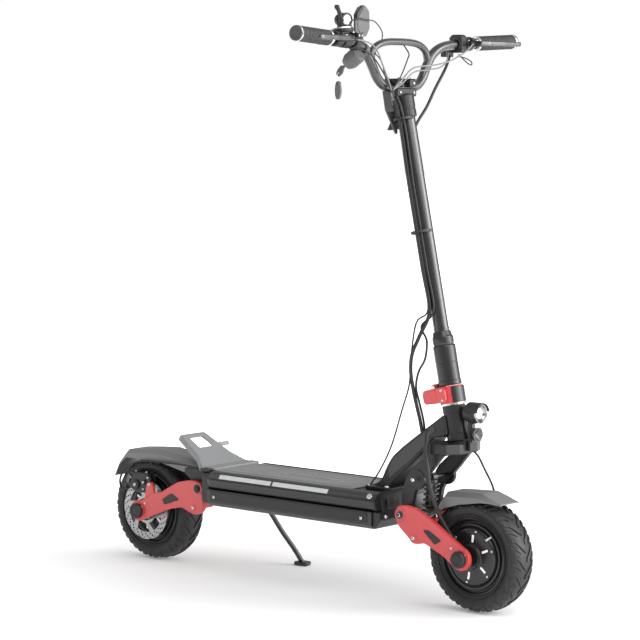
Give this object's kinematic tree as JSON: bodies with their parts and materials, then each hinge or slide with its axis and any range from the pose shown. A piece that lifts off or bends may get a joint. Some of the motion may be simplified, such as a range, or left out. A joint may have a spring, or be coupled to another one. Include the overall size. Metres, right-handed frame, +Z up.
{
  "type": "electric kick scooter",
  "caption": "Stand-on electric scooter with folding stem, wide handlebar, sprung swingarms at both wheels, hub motors, disc brakes, side-lit deck and rear kickplate.",
  "frame": {"origin": "on the ground, midway between the axles and in the middle of the width", "axes": "+X forward, +Y to the rider's left, +Z up"},
  "size_m": [1.2584, 0.7826, 1.346],
  "materials": {
    "black_paint": "satin charcoal paint",
    "red_paint": "satin coral red paint",
    "light_grey_paint": "satin light grey paint",
    "grey_plastic": "fine moulded grain",
    "black_plastic": "fine moulded grain",
    "red_plastic": "smooth gloss",
    "deck_mat": "ribbed matt rubber",
    "rubber": "matt black rubber",
    "tyre_rubber": "matt tyre rubber",
    "steel": "turned and zinc plated",
    "chrome": "bright",
    "bare_aluminium": "as cast"
  },
  "bodies": {
    "chassis": {"deck_shell": "black_paint", "grip_mat": "deck_mat", "side_rail_right": "black_paint", "side_rail_left": "black_paint", "battery_pack": "black_plastic", "motor_controller": "bare_aluminium", "neck": "black_paint", "headset_bearing_lower": "steel", "headset_bearing_upper": "steel", "rear_bracket": "black_paint", "kickplate": "light_grey_paint", "rear_fender": "grey_plastic", "rear_brake_hose": "rubber"},
    "steering": {"fork": "black_paint", "fold_base": "red_paint", "fold_pin": "steel", "headlight": "chrome", "front_motor_lead": "rubber", "front_brake_hose": "rubber"},
    "stem": {"stem_sleeve": "black_paint", "stem_tube": "black_paint", "bar_clamp": "light_grey_paint", "handlebar": "black_paint", "grip_right": "rubber", "grip_left": "rubber", "brake_perch_right": "black_paint", "brake_perch_left": "black_paint", "display": "black_plastic", "lock_housing": "black_plastic", "bar_lamp": "black_plastic", "phone_holder": "grey_plastic", "switch_box": "black_plastic", "stem_cables": "rubber"},
    "clamp_lever": {"clamp_lever": "red_paint"},
    "brake_lever_right": {"brake_lever_right": "black_paint"},
    "brake_lever_left": {"brake_lever_left": "black_paint"},
    "throttle": {"throttle_trigger": "black_plastic"},
    "key": {"ignition_key": "steel"},
    "fob": {"key_fob": "grey_plastic"},
    "horn_button": {"horn_button": "red_plastic"},
    "front_arm": {"front_swingarm": "red_paint", "front_fender": "grey_plastic", "front_caliper": "black_paint", "front_axle": "steel"},
    "rear_arm": {"rear_swingarm": "red_paint", "rear_caliper": "black_paint", "rear_axle": "steel"},
    "front_wheel": {"front_tyre": "tyre_rubber", "front_motor": "black_paint", "front_rotor": "steel"},
    "rear_wheel": {"rear_tyre": "tyre_rubber", "rear_motor": "black_paint", "rear_rotor": "steel"},
    "front_shock_top": {"front_shock_upper": "steel", "front_spring": "steel"},
    "front_shock_rod": {"front_shock_lower": "steel"},
    "rear_shock_top": {"rear_shock_upper": "steel", "rear_spring": "steel"},
    "rear_shock_rod": {"rear_shock_lower": "steel"},
    "kickstand": {"kickstand": "black_paint"}
  },
  "joints": [
    {"name": "steer", "type": "hinge", "parent": "chassis", "child": "steering", "pos_m": [0.429, 0, 0.424], "axis": [-0.2079, 0, 0.9781], "range_deg": [-35, 35], "deforming": ["stem_cables", "front_motor_lead"]},
    {"name": "stem_fold", "type": "hinge", "parent": "steering", "child": "stem", "pos_m": [0.37953, 0, 0.49323], "axis": [0, -1, 0], "range_deg": [0, 92], "deforming": ["stem_cables"]},
    {"name": "clamp_open", "type": "hinge", "parent": "steering", "child": "clamp_lever", "pos_m": [0.42477, -0.035, 0.482], "axis": [-0.2079, 0, 0.9781], "range_deg": [0, 80]},
    {"name": "brake_pull_right", "type": "hinge", "parent": "stem", "child": "brake_lever_right", "pos_m": [0.318, -0.23, 1.27], "axis": [0, 0, -1], "range_deg": [0, 7], "stiffness_Nm_per_rad": 0.8},
    {"name": "brake_pull_left", "type": "hinge", "parent": "stem", "child": "brake_lever_left", "pos_m": [0.318, 0.23, 1.27], "axis": [0, 0, 1], "range_deg": [0, 7], "stiffness_Nm_per_rad": 0.8},
    {"name": "throttle_press", "type": "hinge", "parent": "stem", "child": "throttle", "pos_m": [0.236, -0.214, 1.261], "axis": [0, -1, 0], "range_deg": [0, 25], "stiffness_Nm_per_rad": 0.3},
    {"name": "key_turn", "type": "hinge", "parent": "stem", "child": "key", "pos_m": [0.2325, -0.1595, 1.2105], "axis": [-0.8241, 0, -0.5665], "range_deg": [0, 90]},
    {"name": "fob_swing", "type": "hinge", "parent": "stem", "child": "fob", "pos_m": [0.2185, -0.1595, 1.182], "axis": [0, 1, 0], "range_deg": [-25, 25]},
    {"name": "horn_press", "type": "slide", "parent": "stem", "child": "horn_button", "axis": [1, 0, 0], "range_m": [0, 0.0025], "stiffness_N_per_m": 400},
    {"name": "front_arm_swing", "type": "hinge", "parent": "steering", "child": "front_arm", "pos_m": [0.333, 0, 0.209], "axis": [0, -1, 0], "range_deg": [0, 10], "stiffness_Nm_per_rad": 180, "springref_deg": -14.32, "deforming": ["front_motor_lead", "front_brake_hose"]},
    {"name": "rear_arm_swing", "type": "hinge", "parent": "chassis", "child": "rear_arm", "pos_m": [-0.297, 0, 0.203], "axis": [0, 1, 0], "range_deg": [0, 3.3], "stiffness_Nm_per_rad": 300, "springref_deg": -14.32, "deforming": ["rear_brake_hose"]},
    {"name": "front_wheel_spin", "type": "hinge", "parent": "front_arm", "child": "front_wheel", "pos_m": [0.5017, 0, 0.1275], "axis": [0, 1, 0], "continuous": true},
    {"name": "rear_wheel_spin", "type": "hinge", "parent": "rear_arm", "child": "rear_wheel", "pos_m": [-0.5017, 0, 0.1275], "axis": [0, 1, 0], "continuous": true},
    {"name": "front_shock_tilt", "type": "hinge", "parent": "steering", "child": "front_shock_top", "pos_m": [0.365, 0, 0.29], "axis": [0, -1, 0], "range_deg": [0, 3], "deforming": ["front_spring"]},
    {"name": "front_rod_tilt", "type": "hinge", "parent": "front_arm", "child": "front_shock_rod", "pos_m": [0.35, 0, 0.18], "axis": [0, -1, 0], "range_deg": [-8, 0]},
    {"name": "rear_shock_tilt", "type": "hinge", "parent": "chassis", "child": "rear_shock_top", "pos_m": [-0.35, 0, 0.238], "axis": [0, 1, 0], "range_deg": [0, 1.65], "deforming": ["rear_spring"]},
    {"name": "rear_rod_tilt", "type": "hinge", "parent": "rear_arm", "child": "rear_shock_rod", "pos_m": [-0.316, 0, 0.16], "axis": [0, 1, 0], "range_deg": [-2.64, 0]},
    {"name": "kickstand_fold", "type": "hinge", "parent": "chassis", "child": "kickstand", "pos_m": [-0.214, 0.07, 0.156], "axis": [0, 1, 0], "range_deg": [0, 95]}
  ],
  "couplings": [
    {"joint": "front_shock_tilt", "follows": "front_arm_swing", "ratio": 0.238},
    {"joint": "front_rod_tilt", "follows": "front_arm_swing", "ratio": -0.762},
    {"joint": "rear_shock_tilt", "follows": "rear_arm_swing", "ratio": 0.374},
    {"joint": "rear_rod_tilt", "follows": "rear_arm_swing", "ratio": -0.626}
  ]
}
